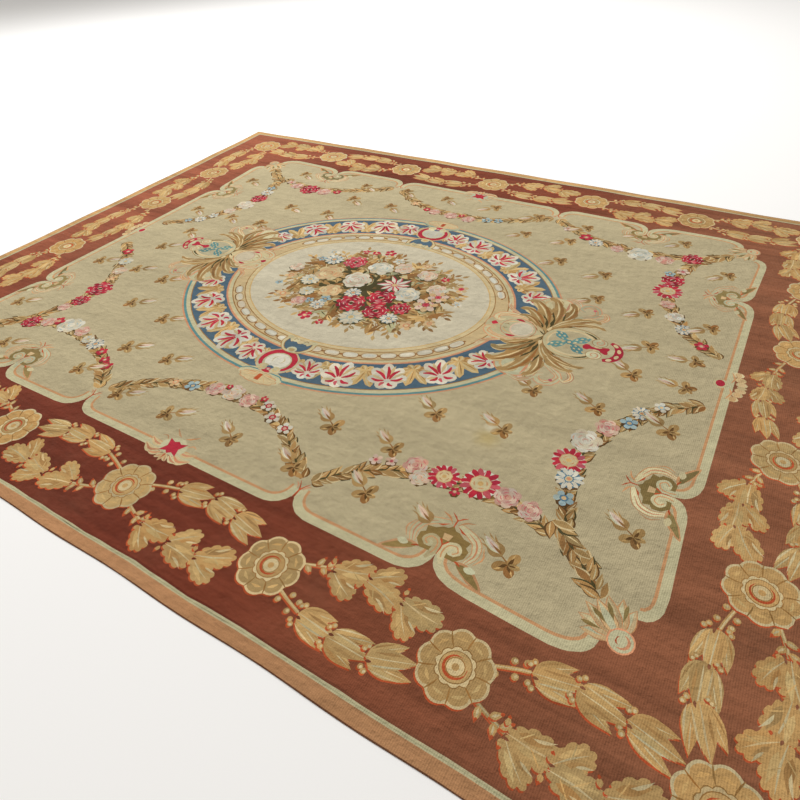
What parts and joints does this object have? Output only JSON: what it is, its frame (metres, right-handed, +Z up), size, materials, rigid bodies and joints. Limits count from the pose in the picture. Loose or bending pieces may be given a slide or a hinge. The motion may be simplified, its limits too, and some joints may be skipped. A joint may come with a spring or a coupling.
{
  "type": "flat tapestry-woven area rug",
  "caption": "Large rectangular flat-woven wool rug, thin and nearly flat, with a plain hem band and low soft swells, lying on a floor.",
  "frame": {"origin": "on the floor under the middle of the rug's box", "axes": "+X along the rug's length, +Y across its width, +Z up out of its upper face"},
  "size_m": [4.6332, 3.6998, 0.0075],
  "materials": {
    "tapestry_wool": "matt wool tapestry weave in cream, madder red and old gold, slightly worn"
  },
  "bodies": {
    "root": {"woven_rug": "tapestry_wool"}
  },
  "joints": []
}
